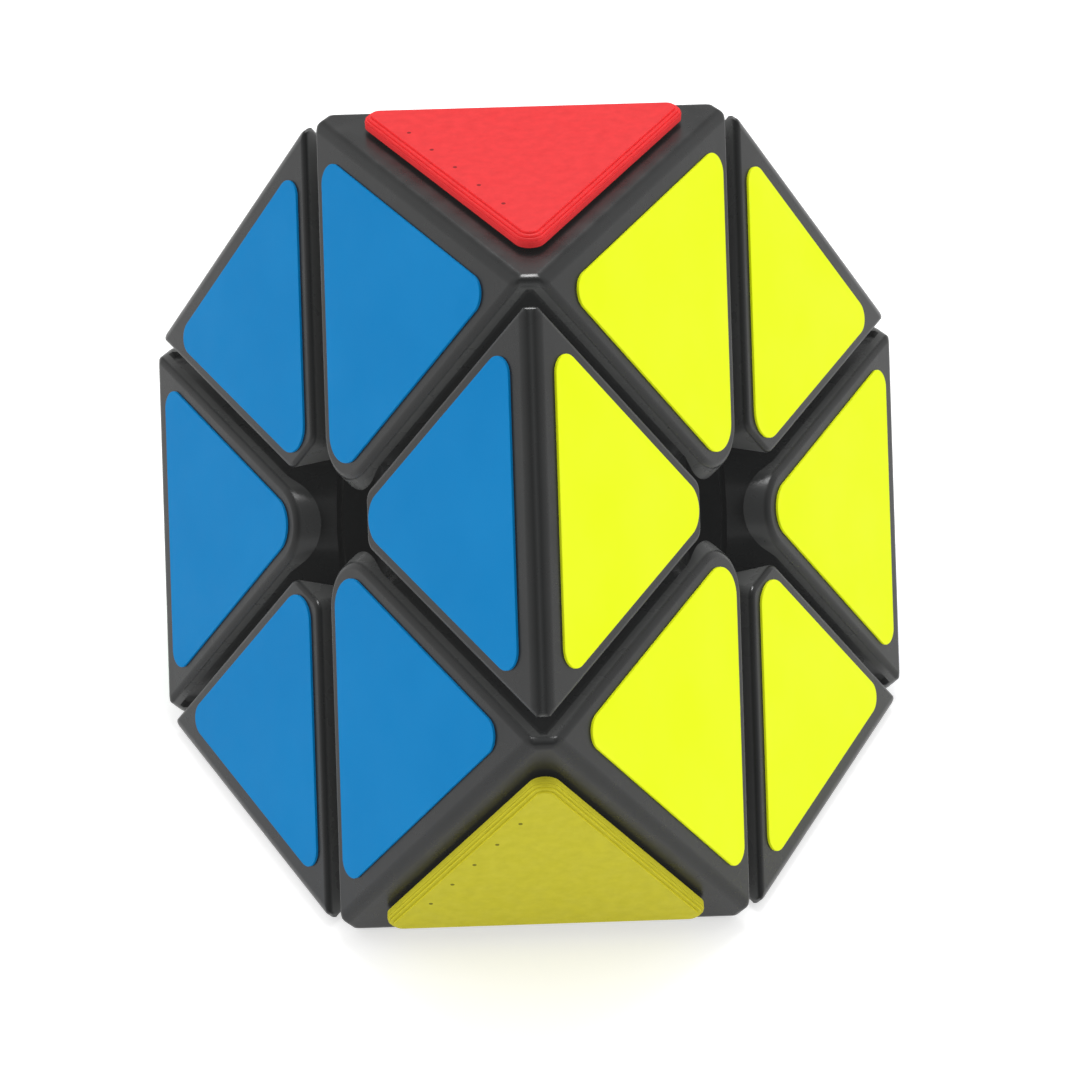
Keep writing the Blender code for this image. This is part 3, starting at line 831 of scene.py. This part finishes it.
def add_corners():
    shell = corner_shell_mesh()
    cap = cap_mesh()
    sticker = sticker_mesh("corner_sticker", CORNER_STICKER)
    start = sticker_frame(AXIS["top"], "right")
    for corner in CORNERS:
        others = [name for name in CORNERS if name != corner]
        body = f"corner_{corner}"
        rotation = own_rotation(corner)
        node = f"corner_shell_{corner}"
        add_piece(f"fine_{node}", shell, rotation, body, "corner_black", node)
        node = f"cap_{corner}"
        colour = CAP_COLOUR[corner]
        place = Matrix.Translation(cap_shift(corner)) @ rotation.to_4x4()
        add_piece(f"fine_{node}", cap, place, body, colour, node)
        for opposite in others:
            colour = FACE_COLOUR[opposite]
            node = f"sticker_{colour}_{corner}"
            turn = turn_to(("top", "right"), (corner, opposite)) @ start
            add_piece(f"fine_{node}", sticker, turn, body, colour, node)


def add_edges():
    shell = edge_shell_mesh()
    sticker = sticker_mesh("edge_sticker", EDGE_STICKER)
    start = sticker_frame(RIDGE, "right")
    for first, second in EDGES:
        place = f"{first}_{second}"
        body = f"edge_{place}"
        rotation = turn_to(("top", "front"), (first, second))
        node = f"edge_shell_{place}"
        add_piece(f"fine_{node}", shell, rotation, body, "edge_black", node)
        for opposite in CORNERS:
            if opposite in (first, second):
                continue
            colour = FACE_COLOUR[opposite]
            node = f"sticker_{colour}_{place}"
            turn = edge_rotation(first, second, opposite) @ start
            add_piece(f"fine_{node}", sticker, turn, body, colour, node)


def finish_kept_nodes():
    """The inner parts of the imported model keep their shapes."""
    for name, node in frame["nodes"].items():
        for kind, finish in INNER_FINISH.items():
            if name.startswith(kind):
                node.material_slots[0].material = FINISHES[finish]


add_corners()
add_edges()
finish_kept_nodes()
for obj in list(WORKSHOP.objects):
    bpy.data.objects.remove(obj)
bpy.data.collections.remove(WORKSHOP)

# ---------------------------------------------------------------------------------------------
# Floor, light and camera
# ---------------------------------------------------------------------------------------------

WORLD_STRENGTH = 1.15
FLOOR_SIZE = 4.0
FLOOR_DROP = 0.02 * MM  # keeps it off the stickers that rest on it
FLOOR_GLOW = 0.6  # it is lit a little from below, as a light table is
FLOOR_TONES = (rgb(0.68, 0.68, 0.68), rgb(0.71, 0.71, 0.71))
CAMERA_PLACE = Vector((-2.3, -167.1, 115.5)) * MM
CAMERA_TARGET = Vector((0.66, -1.12, -1.57)) * MM
CAMERA_UP = Vector((0.0314, 0.5764, 0.8172))
CAMERA_LENS = 80.98  # in the camera's own millimetres
CAMERA_SENSOR = 36.0
CAMERA_NEAR = 5.0 * MM
WORLD_DIMMING = (  # towards the camera, then low behind: direction, cosines at start and end, what is left
    (CAMERA_PLACE, 0.35, 0.95, 0.30),
    (CAMERA_PLACE * Vector((1.0, -1.0, 1.0)), 0.75, 0.93, 0.45),
)


def add_floor():
    bm = bmesh.new()
    bmesh.ops.create_grid(bm, x_segments=8, y_segments=8, size=FLOOR_SIZE / 2.0)
    floor = bpy.data.objects.new("floor", mesh_from("floor", bm))
    floor.location = (0.0, 0.0, CAD_BOX[0][2] - FLOOR_DROP)
    bpy.context.scene.collection.objects.link(floor)
    made = Finish("floor_white")
    tone = made.spread(made.noise(40.0 * MM, 3.0), 0.3, 0.7)
    made.shade(Base_Color=made.mix(tone, *FLOOR_TONES), Roughness=0.8)
    made.shade(Normal=made.bump(made.noise(0.8 * MM, 2.0), 0.005 * MM))
    made.shade(Emission_Color=rgb(1.0, 1.0, 1.0), Emission_Strength=FLOOR_GLOW)
    floor.data.materials.append(made.material)


def add_world():
    """White for the camera. Its soft light is weaker from the sides in WORLD_DIMMING."""
    world = bpy.data.worlds.new("studio")
    bpy.context.scene.world = world
    world.use_nodes = True
    made = Nodes(world.node_tree, "Generated")
    strength = WORLD_STRENGTH
    for direction, start, end, left_over in WORLD_DIMMING:
        dimming = made.spread(made.along(direction.normalized()), start, end, 1.0, left_over)
        strength = made.math("MULTIPLY", dimming, strength)
    from_camera = made.node("ShaderNodeLightPath").outputs["Is Camera Ray"]
    shown = made.node("ShaderNodeMix", {0: from_camera, 2: strength, 3: 1.0}).outputs[0]
    background = made.tree.nodes["Background"]
    made.feed(background.inputs["Strength"], shown)
    made.feed(background.inputs["Color"], rgb(1.0, 1.0, 1.0))


def add_light(name, place, width, length, watts):
    """A soft rectangular light that faces the centre."""
    data = bpy.data.lights.new(name, "AREA")
    data.shape = "RECTANGLE"
    data.size = width
    data.size_y = length
    data.energy = watts
    light = bpy.data.objects.new(name, data)
    light.location = place
    light.rotation_euler = Vector(place).to_track_quat("Z", "Y").to_euler()
    bpy.context.scene.collection.objects.link(light)
    return light


def add_camera():
    data = bpy.data.cameras.new("camera")
    data.lens = CAMERA_LENS
    data.sensor_width = CAMERA_SENSOR
    data.clip_start = CAMERA_NEAR
    camera = bpy.data.objects.new("camera", data)
    back = (CAMERA_PLACE - CAMERA_TARGET).normalized()
    side = CAMERA_UP.cross(back).normalized()
    turn = Matrix((side, back.cross(side), back)).transposed()
    camera.matrix_world = Matrix.Translation(CAMERA_PLACE) @ turn.to_4x4()
    bpy.context.scene.collection.objects.link(camera)
    bpy.context.scene.camera = camera


add_floor()
add_world()
add_light("overhead", place=(0.04, 0.14, 0.42), width=0.14, length=0.14, watts=0.6)
sheen = add_light("sheen", place=(0.0, 0.183, 0.411), width=0.12, length=0.25, watts=2.2)
sheen.visible_diffuse = False  # it only makes the small bright lines on the rims
add_camera()
bpy.context.scene.view_settings.view_transform = "Standard"
